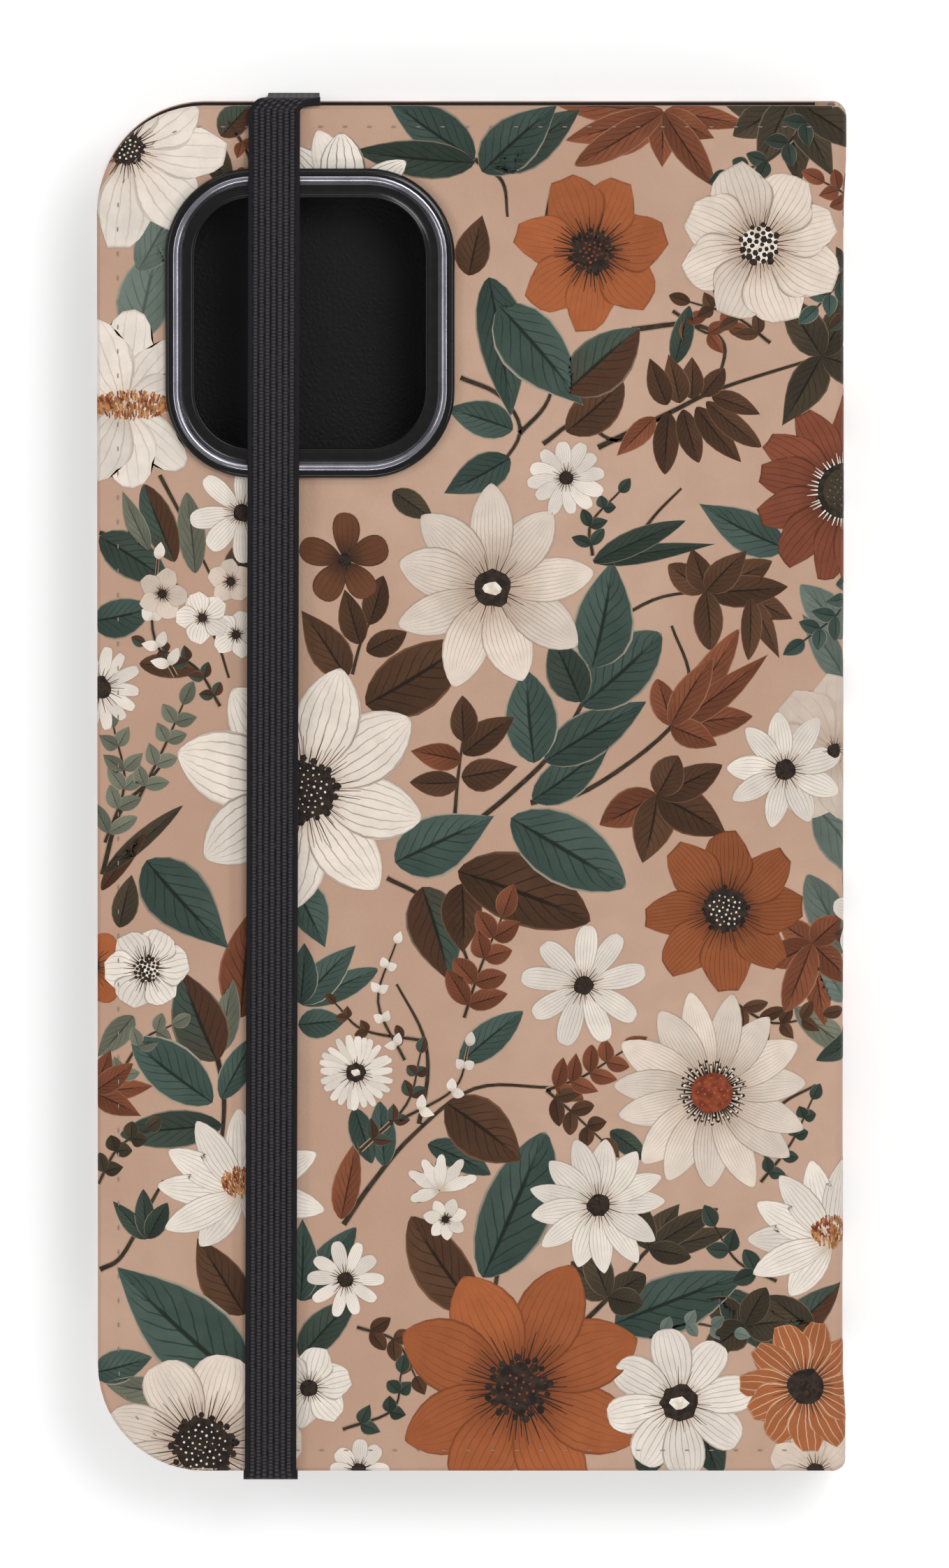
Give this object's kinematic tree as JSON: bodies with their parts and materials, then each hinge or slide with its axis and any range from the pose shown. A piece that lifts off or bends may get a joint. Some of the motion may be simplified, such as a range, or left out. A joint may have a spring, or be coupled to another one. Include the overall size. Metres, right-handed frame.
{
  "type": "folding phone case",
  "caption": "Folding wallet case for a phone: a printed cover of two panels and a spine, a soft tray with a camera window, card slots and an elastic strap.",
  "frame": {"origin": "middle of the closed case's box, on the surface it lies on", "axes": "+Z out through the back cover, +Y towards the camera window's end, +X towards the spine; the case lies closed on its front cover"},
  "size_m": [0.0844, 0.1562, 0.0184],
  "materials": {
    "printed_wrap": "fine-grained printed faux leather, satin",
    "board": "stiff grey board, matte",
    "lining": "short black microfibre nap, matte",
    "pocket_leather": "black faux leather, fine grain, satin",
    "elastic": "black knitted elastic, matte with faint sheen",
    "adhesive_film": "clear double-sided film, matte",
    "tray_plastic": "black soft moulded plastic, matte",
    "rim_plastic": "black moulded plastic, polished"
  },
  "bodies": {
    "front_cover": {"front_skin": "printed_wrap", "front_board": "board", "front_lining": "lining", "cash_pocket": "pocket_leather", "card_slot_top": "pocket_leather", "card_slot_mid": "pocket_leather", "card_slot_low": "pocket_leather", "strap_end_top": "elastic", "strap_end_bottom": "elastic"},
    "spine": {"spine_skin": "printed_wrap", "spine_board": "board", "spine_lining": "lining", "front_hinge_fold": "printed_wrap", "back_hinge_fold": "printed_wrap"},
    "back_cover": {"back_skin": "printed_wrap", "back_board": "board", "back_lining": "lining", "tray_adhesive": "adhesive_film", "camera_rim": "rim_plastic", "phone_tray": "tray_plastic"},
    "power_button": {"power_button_cover": "tray_plastic"},
    "volume_up_button": {"volume_up_cover": "tray_plastic"},
    "volume_down_button": {"volume_down_cover": "tray_plastic"},
    "strap": {"elastic_strap": "elastic"}
  },
  "joints": [
    {"name": "spine_turn", "type": "hinge", "parent": "front_cover", "child": "spine", "pos_m": [0.04065, 0, 0.0016], "axis": [0, 1, 0], "range_deg": [0, 89.2]},
    {"name": "back_turn", "type": "hinge", "parent": "spine", "child": "back_cover", "pos_m": [0.04065, 0, 0.0147], "axis": [0, 1, 0], "range_deg": [0, 89.2]},
    {"name": "strap_swing", "type": "hinge", "parent": "front_cover", "child": "strap", "pos_m": [-0.02255, 0, 0.0013], "axis": [0, -1, 0], "range_deg": [0, 180], "deforming": ["elastic_strap"]},
    {"name": "power_button_press", "type": "slide", "parent": "back_cover", "child": "power_button", "axis": [1, 0, 0], "range_m": [0, 0.0004], "stiffness_N_per_m": 500},
    {"name": "volume_up_press", "type": "slide", "parent": "back_cover", "child": "volume_up_button", "axis": [-1, 0, 0], "range_m": [0, 0.0004], "stiffness_N_per_m": 500},
    {"name": "volume_down_press", "type": "slide", "parent": "back_cover", "child": "volume_down_button", "axis": [-1, 0, 0], "range_m": [0, 0.0004], "stiffness_N_per_m": 500}
  ],
  "couplings": [
    {"joint": "back_turn", "follows": "spine_turn", "ratio": 1},
    {"joint": "strap_swing", "follows": "spine_turn", "ratio": 2}
  ]
}
